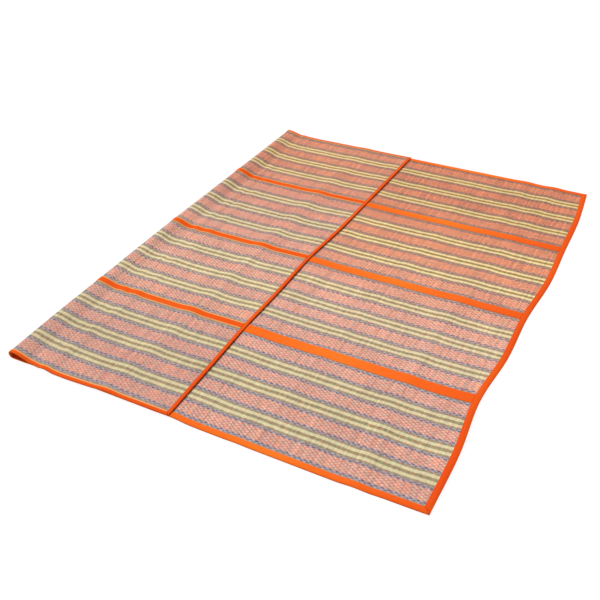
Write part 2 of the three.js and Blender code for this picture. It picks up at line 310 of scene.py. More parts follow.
def middle_line(y, start, flap_start=None):
    """Middle of the mat across one section: points, face normals and distance from the fold.

    It runs from the right-hand edge along the floor, round the fold and back along the flap.
    start is how far in from the mat's ends it stops, unless flap_start is given for the flap.
    """
    right_x, flap_x, land_x = section("right_x", y), section("flap_x", y), section("land_x", y)
    radius, loop_x = fold_loop(y)
    right_end = right_x - np.linspace(start, GRIP, END_STEPS, endpoint=False)
    floor_run = np.linspace(right_x - GRIP, loop_x, LOWER_STEPS, endpoint=False)
    lower = lower_layer(np.concatenate([right_end, floor_run]), y, loop_x)
    turn = np.linspace(0, math.pi, LOOP_STEPS + 1)
    drift = (lower_layer(loop_x, y, loop_x)[1] - y) * (1 - turn / math.pi)
    rise = LOWER_HEIGHT + radius * (1 - np.cos(turn))
    loop = np.stack([loop_x - radius * np.sin(turn), y + drift, rise], axis=-1)
    t = np.linspace(0, 1, DESCENT_STEPS + 1)[1:]
    crest = LOWER_HEIGHT + 2 * radius
    falling = FLAP_HEIGHT + (crest - FLAP_HEIGHT) * bump(t, 1)
    descent = flap_layer(loop_x + (land_x - loop_x) * t, y, loop_x, falling)
    flap_run = np.linspace(land_x, flap_x - GRIP, FLAP_STEPS + 1)[1:]
    flap_start = start if flap_start is None else flap_start
    flap_end = flap_x - np.linspace(GRIP, flap_start, END_STEPS + 1)[1:]
    flap = flap_layer(np.concatenate([flap_run, flap_end]), y, loop_x, FLAP_HEIGHT)
    points = np.concatenate([lower, loop, descent, flap])
    walked = distance_walked(points)
    fold = END_STEPS + LOWER_STEPS + LOOP_STEPS // 2
    along = np.gradient(points[:, [0, 2]], axis=0)
    along /= np.linalg.norm(along, axis=1)[:, None]
    normals = np.stack([along[:, 1], np.zeros(len(points)), -along[:, 0]], axis=-1)
    return points, normals, walked[fold] - walked


def edge_point(y, at_right, inset, height):
    """One point of the mat beside its right-hand edge or beside the free edge of the flap."""
    _, loop_x = fold_loop(y)
    from_edge = np.array([inset, inset + 1.0])
    if at_right:
        here, inner = lower_layer(section("right_x", y) - from_edge, y, loop_x)
        along = (inner - here)[[0, 2]]
    else:
        here, inner = flap_layer(section("flap_x", y) - from_edge, y, loop_x, FLAP_HEIGHT)
        along = (here - inner)[[0, 2]]
    along = along / np.linalg.norm(along)
    return here + height * np.array([along[1], 0.0, -along[0]])


def add_mesh(name, points, faces, uv, materials, back_faces=None, lips=None):
    """Object of points in millimetres, with the sheet's own coordinates in metres as its UV map.

    back_faces picks the faces that take the second material. lips marks the points of a lip.
    """
    mesh = bpy.data.meshes.new(name)
    mesh.from_pydata(((points - ORIGIN) * MM).tolist(), [], faces)
    corner = np.zeros(len(mesh.loops), np.int32)
    mesh.loops.foreach_get("vertex_index", corner)
    layer = mesh.uv_layers.new(name="cloth")
    layer.data.foreach_set("uv", (uv[corner] * MM).astype(np.float32).ravel())
    if lips is not None:
        lip = mesh.attributes.new("lip", "FLOAT", "POINT")
        lip.data.foreach_set("value", np.asarray(lips, np.float32))
    for material in materials:
        mesh.materials.append(material)
    if back_faces is not None:
        mesh.polygons.foreach_set("material_index", np.asarray(back_faces, np.int32))
    mesh.polygons.foreach_set("use_smooth", [True] * len(mesh.polygons))
    mesh.update()
    piece = bpy.data.objects.new(name, mesh)
    bpy.context.scene.collection.objects.link(piece)
    return piece


def ring_faces(ring_count, point_count):
    """Quads between rings of points that are numbered ring by ring."""
    faces = []
    for i in range(ring_count - 1):
        for j in range(point_count):
            k = (j + 1) % point_count
            a, b = i * point_count, (i + 1) * point_count
            faces.append((a + j, b + j, b + k, a + k))
    return faces


def face_outwards(piece):
    """Turns the faces outwards."""
    bpy.ops.object.select_all(action="DESELECT")
    piece.select_set(True)
    bpy.context.view_layer.objects.active = piece
    bpy.ops.object.mode_set(mode="EDIT")
    bpy.ops.mesh.select_all(action="SELECT")
    bpy.ops.mesh.normals_make_consistent(inside=False)
    bpy.ops.object.mode_set(mode="OBJECT")
    piece.select_set(False)


def finish_sheet(piece, node):
    """Hangs a sheet that stands for one solid of the mat on the root body, and hides that solid."""
    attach(piece, "root")
    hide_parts(node)


def make_panel(index, materials):
    """Striped panel of woven grass, from the right-hand edge round the fold to the flap's edge."""
    start = index * PANEL_PITCH
    low = PANEL_END if index == 0 else start + SEAM_WIDTH / 2
    high = start + PANEL_PITCH - (PANEL_END if index == PANEL_COUNT - 1 else SEAM_WIDTH / 2)
    rows = np.linspace(low, high, PANEL_ROWS)
    half = PANEL_THICKNESS / 2
    lines = [middle_line(y, PANEL_END) for y in rows]
    front = [points + half * normals for points, normals, _ in lines]
    back = [points - half * normals for points, normals, _ in lines]
    rings = np.stack(front + back[::-1], axis=1)
    count, width = rings.shape[:2]
    distances = [distance for _, _, distance in lines]
    along = np.stack(distances + distances[::-1], axis=1)
    across = np.tile(np.concatenate([rows, rows[::-1]]), (count, 1))
    faces = ring_faces(count, width)
    back_faces = [PANEL_ROWS <= corners[0] % width < width - 1 for corners in faces]
    for base in (0, (count - 1) * width):
        for j in range(PANEL_ROWS - 1):
            other_side = base + width - 1 - j
            faces.append((base + j, base + j + 1, other_side - 1, other_side))
            back_faces.append(False)
    piece = add_mesh(
        PANELS[index] + "_grass",
        rings.reshape(-1, 3),
        faces,
        np.stack([along, across], axis=-1).reshape(-1, 2),
        materials,
        back_faces,
    )
    face_outwards(piece)
    finish_sheet(piece, PANELS[index])


# Sewing: length of a stitch, the gap after it, half its width, how far it stands up, how far in
# from the cloth's edge it lies and how deep under the cloth's top.
STITCH_LENGTH = 5.0
STITCH_GAP = 3.0
STITCH_HALF = 0.45
STITCH_RISE = 0.35
STITCH_INSET = 4.6
STITCH_DROP = 0.36

# Section of the cloth: distance in from its edge, depth under the cloth's top, and whether it
# belongs to the pale lip that shows outside the stitching on the back. TURNED is where the cloth
# goes round the mat's edge.
ClothPoint = namedtuple("ClothPoint", "inset drop lip")
FACE_EDGE = [
    ClothPoint(9.0, 0.0, 0),
    ClothPoint(6.0, 0.05, 0),
    ClothPoint(STITCH_INSET, 0.38, 0),
    ClothPoint(3.2, 0.1, 0),
    ClothPoint(1.2, 0.08, 0),
    ClothPoint(0.3, 0.28, 0),
    ClothPoint(0.0, 0.62, 0),
    ClothPoint(0.3, 1.0, 0),
]
BACK_EDGE = [
    ClothPoint(9.0, 0.0, 0),
    ClothPoint(6.2, 0.05, 0),
    ClothPoint(STITCH_INSET, 0.35, 0.1),
    ClothPoint(4.0, 0.28, 1),
    ClothPoint(1.2, 0.3, 1),
    ClothPoint(0.3, 0.42, 1),
    ClothPoint(0.0, 0.68, 1),
    ClothPoint(0.3, 1.0, 1),
]
TURNED = [
    ClothPoint(0.35, 0.12, 0),
    ClothPoint(0.0, 0.6, 0),
]


def band_profile(band):
    """Outline of a joining band in width, height and lip: a lap on the face and one on the back."""
    core = SEAM_WIDTH / 2 - CLEARANCE
    half = [(band.face_lap - p.inset, CLOTH_OUTER - p.drop, p.lip) for p in FACE_EDGE]
    half += [(core, CLOTH_INNER, 0), (core, -CLOTH_INNER, 0)]
    half += [(BACK_LAP - p.inset, p.drop - CLOTH_OUTER, p.lip) for p in reversed(BACK_EDGE)]
    other_half = [(-width, height, lip) for width, height, lip in reversed(half)]
    return [(band.y + width, height, lip) for width, height, lip in half + other_half]


def binding_profile(face_lap, back_lap):
    """Outline of the cloth round an edge, in distance from that edge, height and lip."""
    turned = [(p.inset, CLOTH_OUTER - p.drop, p.lip) for p in TURNED]
    turned += [(p.inset, p.drop - CLOTH_OUTER, p.lip) for p in reversed(TURNED)]
    back = [(back_lap - p.inset, p.drop - CLOTH_OUTER, p.lip) for p in BACK_EDGE]
    inner = [(CLOTH_THICKNESS, -CLOTH_INNER, 0), (CLOTH_THICKNESS, CLOTH_INNER, 0)]
    face = [(face_lap - p.inset, CLOTH_OUTER - p.drop, p.lip) for p in reversed(FACE_EDGE)]
    return turned + back + inner + face


def cross_laps(at_right):
    """Laps of a cross binding on the face and on the back."""
    return (BINDING_LAP, BACK_LAP) if at_right else (FLAP_LAP, FLAP_LAP)


def cloth_piece(name, rings, along, profile, materials):
    """Closed piece of cloth through rings of points, and its width when flat, in metres.

    along gives the first coordinate of its UV map. The second is walked round the outline.
    """
    count, width = rings.shape[:2]
    walked = distance_walked(np.array(profile)[:, :2])
    uv = np.stack([along, np.tile(walked, (count, 1))], axis=-1).reshape(-1, 2)
    faces = ring_faces(count, width)
    faces.append(tuple(range(width)))
    faces.append(tuple((count - 1) * width + j for j in reversed(range(width))))
    lips = np.tile([lip for _, _, lip in profile], count)
    piece = add_mesh(name, rings.reshape(-1, 3), faces, uv, materials, lips=lips)
    face_outwards(piece)
    return piece, walked[-1] / 2 * MM


def end_inset(y, lap, edge_y):
    """How far in long cloth stops: at a cross binding's lap, or at its mitre beside edge_y."""
    if edge_y is None:
        return lap + CLEARANCE
    return min(abs(y - edge_y), lap) + MITRE_GAP


def make_long_cloth(node, profile, edge_y, materials):
    """Band or binding that runs the whole length of the stripes. A band has no edge_y."""
    columns, distances = [], []
    for y, height, _ in profile:
        at_right, at_flap = end_inset(y, BINDING_LAP, edge_y), end_inset(y, FLAP_LAP, edge_y)
        points, normals, distance = middle_line(y, at_right, at_flap)
        columns.append(points + height * normals)
        distances.append(distance)
    rings, along = np.stack(columns, axis=1), np.stack(distances, axis=1)
    piece, flat_width = cloth_piece(node + "_cloth", rings, along, profile, materials)
    finish_sheet(piece, node)


def make_cross_cloth(node, at_right, materials):
    """Binding across the stripes, at the right-hand edge or at the free edge of the flap.

    Its edge on the back is turned under, so it has no lip.
    """
    profile = [(inset, height, 0) for inset, height, _ in binding_profile(*cross_laps(at_right))]
    places = [[inset + MITRE_GAP for inset, _, _ in profile]]
    places += [[y] * len(profile) for y in CROSS_ROWS]
    places += [[MAT_WIDTH - inset - MITRE_GAP for inset, _, _ in profile]]
    rings = []
    for place in places:
        spots = zip(place, profile)
        rings.append([edge_point(y, at_right, inset, height) for y, (inset, height, _) in spots])
    name = node + "_cloth"
    piece, flat_width = cloth_piece(name, np.array(rings), np.array(places), profile, materials)
    finish_sheet(piece, node)


# Form of a stitch, as shares of its length, of half its width and of its rise: a tip, two rings
# of four points and the other tip.
STITCH_RING = [(-1, 0.0), (0, 1.0), (1, 0.0), (0, -0.6)]
STITCH_FORM = [(0.0, 0, -0.1)]
STITCH_FORM += [(share, side, rise) for share in (0.2, 0.8) for side, rise in STITCH_RING]
STITCH_FORM += [(1.0, 0, -0.1)]


def stitch_faces(count):
    """Faces of so many stitches, whose points come stitch by stitch."""
    faces = []
    sides = len(STITCH_RING)
    for i in range(count):
        tip = i * len(STITCH_FORM)
        ring = tip + 1
        next_ring = ring + sides
        for j in range(sides):
            k = (j + 1) % sides
            faces.append((tip, ring + k, ring + j))
            faces.append((ring + j, ring + k, next_ring + k, next_ring + j))
            faces.append((next_ring + sides, next_ring + j, next_ring + k))
    return faces


def stitch_row(points, normals):
    """Stitches laid along a line of points, as one block of points and faces."""
    walked = distance_walked(points)
    stop = walked[-1] - STITCH_LENGTH - STITCH_GAP
    starts = np.arange(STITCH_GAP, stop, STITCH_LENGTH + STITCH_GAP)

    def at(distance, values):
        return np.stack([np.interp(distance, walked, values[:, k]) for k in range(3)], axis=-1)

    first, final = at(starts, points), at(starts + STITCH_LENGTH, points)
    up = at(starts + STITCH_LENGTH / 2, normals)
    up /= np.linalg.norm(up, axis=1)[:, None]
    along = final - first
    along /= np.linalg.norm(along, axis=1)[:, None]
    side = np.cross(along, up)
    block = [
        first + a * STITCH_LENGTH * along + b * STITCH_HALF * side + c * STITCH_RISE * up
        for a, b, c in STITCH_FORM
    ]
    return np.stack(block, axis=1).reshape(-1, 3), stitch_faces(len(starts))


def make_sewing(name, rows, materials):
    """Rows of stitches joined in one piece."""
    points, faces, offset = [], [], 0
    for line, normals in rows:
        block, block_faces = stitch_row(line, normals)
        points.append(block)
        faces += [tuple(offset + i for i in corners) for corners in block_faces]
        offset += len(block)
    points = np.concatenate(points)
    piece = add_mesh(name + "_stitching", points, faces, points[:, :2], materials)
    face_outwards(piece)
    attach(piece, "root")


def long_row(y, on_face, end):
    """Line of sewing along the stripes, on the face or the back of the mat, and its normals."""
    points, normals, _ = middle_line(y, end)
    sign = 1 if on_face else -1
    return points + sign * (CLOTH_OUTER - STITCH_DROP) * normals, sign * normals


def cross_row(at_right, on_face):
    """Line of sewing across the stripes, on the face or the back, and its normals."""
    face_lap, back_lap = cross_laps(at_right)
    inset = (face_lap if on_face else back_lap) - STITCH_INSET
    height = (CLOTH_OUTER - STITCH_DROP) * (1 if on_face else -1)
    line = np.array([edge_point(y, at_right, inset, height) for y in CROSS_ROWS])
    up = line - np.array([edge_point(y, at_right, inset, 0.0) for y in CROSS_ROWS])
    return line, up / np.linalg.norm(up, axis=1)[:, None]


def sew_cloth(materials):
    """Stitching near the edges of each band and binding."""
    for band in BANDS:
        rows = []
        for lap, on_face in ((band.face_lap, True), (BACK_LAP, False)):
            for side in (-1, 1):
                y = band.y + side * (lap - STITCH_INSET)
                rows.append(long_row(y, on_face, BINDING_LAP + 1))
        make_sewing(band.name, rows, materials)
    for name, edge, inwards in (("near_edge", 0, 1), ("far_edge", MAT_WIDTH, -1)):
        rows = []
        for lap, on_face in ((BINDING_LAP, True), (BACK_LAP, False)):
            inset = lap - STITCH_INSET
            rows.append(long_row(edge + inwards * inset, on_face, inset + 1))
        make_sewing(name, rows, materials)
    for name, at_right in (("right_edge", True), ("flap_edge", False)):
        make_sewing(name, [cross_row(at_right, True), cross_row(at_right, False)], materials)


def srgb(code):
    """Linear colour from an sRGB hex code."""
    parts = [int(code[i : i + 2], 16) / 255 for i in (1, 3, 5)]
    linear = [c / 12.92 if c <= 0.04045 else ((c + 0.055) / 1.055) ** 2.4 for c in parts]
    return (*linear, 1.0)


def add(tree, kind, feeds=None, **settings):
    """Adds a node. feeds gives its inputs a value, a socket or another node's first output."""
    made = tree.nodes.new(kind)
    for name, value in settings.items():
        setattr(made, name, value)
    for key, value in (feeds or {}).items():
        if isinstance(value, bpy.types.Node):
            value = value.outputs[0]
        if isinstance(value, bpy.types.NodeSocket):
            tree.links.new(value, made.inputs[key])
        else:
            made.inputs[key].default_value = value
    return made


def set_stops(ramp, stops):
    """Gives a colour ramp its stops in rising order, each a place from 0 to 1 and a colour."""
    elements = ramp.color_ramp.elements
    for index, (place, colour) in enumerate(stops):
        stop = elements[index] if index < 2 else elements.new(place)
        stop.position = place
        stop.color = colour


def new_material(name):
    """Material with its node tree and its surface shader."""
    material = bpy.data.materials.new(name)
    material.use_nodes = True
    tree = material.node_tree
    return material, tree, tree.nodes["Principled BSDF"]


# Stripes of one panel, mirrored about its middle: kind, and from where to where they reach in
# millimetres from the middle. All that they leave is salmon. A rope has two rows of strands.
Stripe = namedtuple("Stripe", "kind start end")
STRIPES = [
    Stripe("dashes", -5.6, 5.6),
    Stripe("yellow", 5.6, 17),
    Stripe("olive", 17, 25),
    Stripe("rope", 25, 35.2),
    Stripe("inner strand", 25.4, 29.8),
    Stripe("outer strand", 30.4, 35.2),
    Stripe("outer strand", 77.8, 82.6),
    Stripe("inner strand", 83.2, 87.6),
    Stripe("rope", 77.8, 88),
    Stripe("olive", 88, 95.5),
    Stripe("yellow", 95.5, 107),
    Stripe("dashes", 107, 118),
    Stripe("yellow", 118, 129.5),
    Stripe("olive", 129.5, 137),
    Stripe("rope", 137, 147.2),
    Stripe("inner strand", 137.4, 141.8),
    Stripe("outer strand", 142.4, 147.2),
    Stripe("outer strand", 191.8, 196.6),
    Stripe("inner strand", 197.2, 201.8),
    Stripe("rope", 191.8, 203),
    Stripe("olive", 203, 230),
]
STRIPE_BLUR = 1.6

# Rows of strands in a rope: which of two opposite phases a row has, and how deep its ink is.
StrandRow = namedtuple("StrandRow", "kind phase depth")
STRAND_ROWS = [
    StrandRow("outer strand", 1.0, 0.95),
    StrandRow("inner strand", -1.0, 0.9),
]

# Repeat of the twill, and how far the beating of the stems may shift it along the stripes.
TWILL_ALONG = 18.85
TWILL_ACROSS = 11.4
BEAT_SHIFT = 16

# Range of the net that goes from ground to scale, and how much flecks disturb it.
NET_START = 0.1
NET_END = 0.85
NET_UNEVEN = 1.2

# A stem is 2.2 mm wide, drawn as 3.2 mm so that it shows. The numbers of two panels' stems lie
# further apart than one panel has stems.
STEM_WIDTH = 3.2
STEM_NUMBERS_APART = 977.0

# Unevenness of the grass: changes in a metre along the stripes and across them. Flecks are one
# stitch of the weave, 4 or 5 mm. Streaks are two or three stems wide and 140 mm long on them.
# Grain and tint change every centimetre or so. Patches of 140 mm have faded more or less.
Unevenness = namedtuple("Unevenness", "name along across detail")
UNEVENNESS = [
    Unevenness("fleck", 200, 240, 1.0),
    Unevenness("streak", 140, 7, 2.0),
    Unevenness("grain", 110, 80, 2.0),
    Unevenness("tint", 95, 60, 2.0),
    Unevenness("patch", 7, 7, 2.0),
]

# Dyes of the panels with painted sheen, from the near panel to the far one, on the face and on the
# back.
# The painted sheen makes the near panels paler and pinker and the far ones more orange.
DyeAndSheen = namedtuple("DyeAndSheen", "scale ground yellow olive dash rope ink")
FACE_DYES_AND_SHEEN = [
    DyeAndSheen("#d4a594", "#b47564", "#c7bb90", "#908067", "#90805d", "#9f8e8e", "#46486a"),
    DyeAndSheen("#e1af9c", "#c1806e", "#d2c19a", "#98846e", "#98855f", "#b19891", "#504c68"),
    DyeAndSheen("#e39d79", "#c06d4b", "#dec891", "#94765a", "#957c42", "#b28676", "#5a4452"),
    DyeAndSheen("#d78a6c", "#b35f3d", "#d7bb82", "#8d6c4f", "#967a3e", "#a67965", "#5c4042"),
]
BACK_DYES_AND_SHEEN = [
    DyeAndSheen("#cb9a8a", "#b37767", "#c3b68c", "#8c7c67", "#8f7e5a", "#9e8b8a", "#484a6a"),
    DyeAndSheen("#dfae99", "#c0806c", "#d5c59a", "#97846a", "#9a8860", "#b2998f", "#544e64"),
    DyeAndSheen("#dda692", "#bc735e", "#cebf97", "#8e7864", "#958155", "#b28e83", "#524860"),
    DyeAndSheen("#db9579", "#b76848", "#dcbf8a", "#8e6d52", "#967c42", "#b0836d", "#5c424a"),
]


def sheet_place(tree):
    """The sheet's own UV map, and the millimetres that it gives along and across the stripes."""
    uv = add(tree, "ShaderNodeUVMap", uv_map="cloth")
    place = add(tree, "ShaderNodeSeparateXYZ", {0: uv})
    along = add(tree, "ShaderNodeMath", {0: place.outputs["X"], 1: 1 / MM}, operation="MULTIPLY")
    across = add(tree, "ShaderNodeMath", {0: place.outputs["Y"], 1: 1 / MM}, operation="MULTIPLY")
    return uv, along, across


def grass_unevenness(tree, uv):
    """One value from about 0.3 to 0.7 for each kind of unevenness."""
    uneven = {}
    for row in UNEVENNESS:
        feeds = {"Vector": uv, "Scale": (row.along, row.across, 1)}
        stretched = add(tree, "ShaderNodeMapping", feeds)
        feeds = {"Vector": stretched, "Scale": 1.0, "Detail": row.detail}
        uneven[row.name] = add(tree, "ShaderNodeTexNoise", feeds).outputs["Fac"]
    return uneven


def stripe_mask(tree, share, kind):
    """1 on the stripes of one kind and 0 elsewhere, with soft edges."""
    values = {}
    for stripe in STRIPES:
        if stripe.kind == kind:
            values[stripe.start - STRIPE_BLUR / 2] = 0.0
            values[stripe.start + STRIPE_BLUR / 2] = 1.0
            values[stripe.end - STRIPE_BLUR / 2] = 1.0
            values[stripe.end + STRIPE_BLUR / 2] = 0.0
    half = PANEL_PITCH / 2
    places = sorted(place for place in values if 0 <= place <= half)
    in_middle = any(stripe.kind == kind and stripe.start < 0 for stripe in STRIPES)
    stops = [(0.0, float(in_middle))]
    stops += [(place / half, values[place]) for place in places]
    stops += [(1.0, values[places[-1]])]
    ramp = add(tree, "ShaderNodeValToRGB", {"Fac": share})
    set_stops(ramp, [(place, (value, value, value, 1)) for place, value in stops])
    return ramp.outputs["Color"]


def woven_stripes(tree, uv, across, fleck):
    """Place across the stripes as they were woven, distance from a panel's middle, and masks.

    The stripes wander by 1 or 2 mm as the weaver beats the stems, and their edges are ragged.
    """
    wander = add(tree, "ShaderNodeTexNoise", {"Vector": uv, "Scale": 11.0, "Detail": 2.0})
    feeds = {"Value": wander.outputs["Fac"], "To Min": -3.5, "To Max": 3.5}
    wander_mm = add(tree, "ShaderNodeMapRange", feeds)
    ragged_mm = add(tree, "ShaderNodeMapRange", {"Value": fleck, "To Min": -2.5, "To Max": 2.5})
    woven = add(tree, "ShaderNodeMath", {0: across, 1: wander_mm}, operation="ADD")
    ragged = add(tree, "ShaderNodeMath", {0: woven, 1: ragged_mm}, operation="ADD")
    in_panel = add(tree, "ShaderNodeMath", {0: ragged, 1: PANEL_PITCH}, operation="MODULO")
    half = PANEL_PITCH / 2
    off_middle = add(tree, "ShaderNodeMath", {0: in_panel, 1: half}, operation="SUBTRACT")
    from_middle = add(tree, "ShaderNodeMath", {0: off_middle}, operation="ABSOLUTE")
    share = add(tree, "ShaderNodeMath", {0: from_middle, 1: half}, operation="DIVIDE")
    kinds = sorted({stripe.kind for stripe in STRIPES})
    return woven, from_middle, {kind: stripe_mask(tree, share, kind) for kind in kinds}


def twill_turns(tree, uv, along):
    """Angle of the twill along the stripes, which rises faster where stems were beaten harder."""
    feeds = {"Vector": uv, "Scale": 4.5, "Detail": 3.0, "Roughness": 0.6}
    beat = add(tree, "ShaderNodeTexNoise", feeds)
    feeds = {"Value": beat.outputs["Fac"], "To Min": -BEAT_SHIFT, "To Max": BEAT_SHIFT}
    beat_mm = add(tree, "ShaderNodeMapRange", feeds)
    beaten = add(tree, "ShaderNodeMath", {0: along, 1: beat_mm}, operation="ADD")
    return add(tree, "ShaderNodeMath", {0: beaten, 1: math.pi / TWILL_ALONG}, operation="MULTIPLY")


def twill_scales(tree, turns_along, woven, fleck, lean, cross_share):
    """Net of scales between two diagonals: 1 on a scale and 0 on the ground."""
    rate = lean * math.pi / TWILL_ACROSS
    turns_across = add(tree, "ShaderNodeMath", {0: woven, 1: rate}, operation="MULTIPLY")
    diagonals = []
    for operation in ("ADD", "SUBTRACT"):
        turns = add(tree, "ShaderNodeMath", {0: turns_along, 1: turns_across}, operation=operation)
        wave = add(tree, "ShaderNodeMath", {0: turns}, operation="SINE")
        diagonals.append(add(tree, "ShaderNodeMath", {0: wave}, operation="ABSOLUTE"))
    strong, weak = diagonals
    weakened = add(tree, "ShaderNodeMapRange", {"Value": weak, "To Min": 1 - cross_share})
    net = add(tree, "ShaderNodeMath", {0: strong, 1: weakened}, operation="MULTIPLY")
    feeds = {0: fleck, 1: NET_UNEVEN, 2: net}
    disturbed = add(tree, "ShaderNodeMath", feeds, operation="MULTIPLY_ADD")
    feeds = {
        "Value": disturbed,
        "From Min": NET_START + NET_UNEVEN / 2,
        "From Max": NET_END + NET_UNEVEN / 2,
    }
    return add(tree, "ShaderNodeMapRange", feeds, interpolation_type="SMOOTHSTEP")


def dye_and_sheen_tones(tree, panel, dyes_and_sheen):
    """Colour of each dye, with the painted sheen that goes with the panel's place from near to far.
    """
    mat_share = add(tree, "ShaderNodeMath", {0: panel, 1: PANEL_COUNT}, operation="DIVIDE")
    middles = [(index + 0.5) / PANEL_COUNT for index in range(PANEL_COUNT)]
    tones = {}
    for column in DyeAndSheen._fields:
        ramp = add(tree, "ShaderNodeValToRGB", {"Fac": mat_share})
        colours = [srgb(getattr(panel_dye_and_sheen, column)) for panel_dye_and_sheen in dyes_and_sheen]
        set_stops(ramp, zip(middles, colours))
        tones[column] = ramp.outputs["Color"]
    return tones


def stem_dyes(tree, along, panel):
    """How much dye each stem took, from 0 to 1."""
    panel_number = add(tree, "ShaderNodeMath", {0: panel}, operation="FLOOR")
    stem = add(tree, "ShaderNodeMath", {0: along, 1: STEM_WIDTH}, operation="DIVIDE")
    stem_number = add(tree, "ShaderNodeMath", {0: stem}, operation="FLOOR")
    feeds = {0: panel_number, 1: STEM_NUMBERS_APART, 2: stem_number}
    stem_key = add(tree, "ShaderNodeMath", feeds, operation="MULTIPLY_ADD")
    random_dye = add(tree, "ShaderNodeTexWhiteNoise", {"W": stem_key}, noise_dimensions="1D")
    return random_dye.outputs["Value"]


def salmon_ground(tree, tones, scales, uneven, stem_dye):
    """Pink scales over a redder ground.

    Some streaks are more orange, some flecks undyed, and one stem in twenty took too much dye.
    """
    feeds = {"Factor": scales, "A": tones["ground"], "B": tones["scale"]}
    salmon = add(tree, "ShaderNodeMix", feeds, data_type="RGBA")
    orange = {"Value": uneven["streak"], "From Min": 0.52, "From Max": 0.72, "To Max": 0.55}
    undyed = {"Value": uneven["fleck"], "From Min": 0.4, "From Max": 0.25, "To Max": 0.5}
    overdyed = {"Value": stem_dye, "From Min": 0.93, "From Max": 0.97, "To Max": 0.4}
    for amount, dye in ((orange, "#cf7a48"), (undyed, "#b9a68a"), (overdyed, "#963c28")):
        share = add(tree, "ShaderNodeMapRange", amount)
        feeds = {"Factor": share, "A": salmon.outputs["Result"], "B": srgb(dye)}
        salmon = add(tree, "ShaderNodeMix", feeds, data_type="RGBA")
    return salmon.outputs["Result"]


def rope_strands(tree, turns_along, fleck, masks):
    """Strands of the ropes: two rows, with each inner strand between two outer ones."""
    turns = add(tree, "ShaderNodeMath", {0: turns_along, 1: 2.0}, operation="MULTIPLY")
    wave = add(tree, "ShaderNodeMath", {0: turns}, operation="SINE")
    strands = {}
    for row in STRAND_ROWS:
        row_wave = add(tree, "ShaderNodeMath", {0: wave, 1: row.phase}, operation="MULTIPLY")
        feeds = {0: fleck, 1: 4.0, 2: row_wave}
        disturbed = add(tree, "ShaderNodeMath", feeds, operation="MULTIPLY_ADD")
        feeds = {"Value": disturbed, "From Min": 1.5, "From Max": 2.7, "To Max": row.depth}
        strand = add(tree, "ShaderNodeMapRange", feeds, interpolation_type="SMOOTHSTEP")
        feeds = {0: strand, 1: masks[row.kind]}
        strands[row.kind] = add(tree, "ShaderNodeMath", feeds, operation="MULTIPLY")
    return strands


def dash_tint(tree, along):
    """Tint that turns from red-brown to green and back with each repeat of the twill."""
    rate = 2 * math.pi / TWILL_ALONG
    turns = add(tree, "ShaderNodeMath", {0: along, 1: rate}, operation="MULTIPLY")
    wave = add(tree, "ShaderNodeMath", {0: turns}, operation="SINE")
    feeds = {"Value": wave, "From Min": -0.6, "From Max": 0.6}
    side = add(tree, "ShaderNodeMapRange", feeds, interpolation_type="SMOOTHSTEP")
    feeds = {"Factor": side, "A": (1.36, 0.93, 0.97, 1), "B": (0.66, 0.95, 0.85, 1)}
    return add(tree, "ShaderNodeMix", feeds, data_type="RGBA").outputs["Result"]


def dashed_lines(tree, uv, along, from_middle, tones):
    """Colours of the dashed and the olive lines, with dashes that are clear here and faint there.

    The dashes show best in a panel's middle, and the olive lines have them where those are faint.
    """
    tint = dash_tint(tree, along)
    fade = add(tree, "ShaderNodeTexNoise", {"Vector": uv, "Scale": 5.5, "Detail": 2.0})
    clear = {"From Min": 0.38, "From Max": 0.6, "To Min": 0.3, "To Max": 1.1}
    faint = {"From Min": 0.55, "From Max": 0.35, "To Min": 0.2, "To Max": 0.9}
    central = {"From Min": 40, "From Max": 80, "To Min": 1.0, "To Max": 0.5}
    dash_clear = add(tree, "ShaderNodeMapRange", {"Value": fade.outputs["Fac"], **clear})
    in_middle = add(tree, "ShaderNodeMapRange", {"Value": from_middle, **central})
    amounts = {
        "dash": add(tree, "ShaderNodeMath", {0: dash_clear, 1: in_middle}, operation="MULTIPLY"),
        "olive": add(tree, "ShaderNodeMapRange", {"Value": fade.outputs["Fac"], **faint}),
    }
    colours = {}
    for column, amount in amounts.items():
        feeds = {"Factor": amount, "A": tones[column], "B": tint}
        tinted = add(tree, "ShaderNodeMix", feeds, data_type="RGBA", blend_type="MULTIPLY")
        colours[column] = tinted.outputs["Result"]
    return colours


def uneven_dye(tree, colour, uneven, stem_dye, yellow):
    """Each stem took the dye unevenly along its length, and differently from the next.

    Undyed stems, in the yellow stripes, are the most even.
    """
    feeds = {"Value": uneven["tint"], "From Min": 0.3, "From Max": 0.7}
    warmth = add(tree, "ShaderNodeMapRange", feeds)
    feeds = {"Factor": warmth, "A": (0.86, 1.08, 1.05, 1), "B": (1.14, 0.92, 0.95, 1)}
    hue = add(tree, "ShaderNodeMix", feeds, data_type="RGBA")
    feeds = {"Factor": 1.0, "A": colour, "B": hue.outputs["Result"]}
    tinted = add(tree, "ShaderNodeMix", feeds, data_type="RGBA", blend_type="MULTIPLY")
    shade = 1.0
    parts = (
        (stem_dye, 0.0, 1.0, 0.11),
        (uneven["grain"], 0.3, 0.7, 0.18),
        (uneven["streak"], 0.3, 0.7, 0.17),
        (uneven["patch"], 0.3, 0.7, 0.05),
    )
    for value, low, high, spread in parts:
        feeds = {
            "Value": value,
            "From Min": low,
            "From Max": high,
            "To Min": 1 - spread,
            "To Max": 1 + spread,
        }
        part = add(tree, "ShaderNodeMapRange", feeds)
        shade = add(tree, "ShaderNodeMath", {0: shade, 1: part}, operation="MULTIPLY")
    feeds = {0: tinted.outputs["Result"], "Scale": shade}
    shaded = add(tree, "ShaderNodeVectorMath", feeds, operation="SCALE")
    calm = add(tree, "ShaderNodeMath", {0: yellow, 1: 0.4}, operation="MULTIPLY")
    feeds = {"Factor": calm, "A": shaded.outputs["Vector"], "B": colour}
    return add(tree, "ShaderNodeMix", feeds, data_type="RGBA").outputs["Result"]


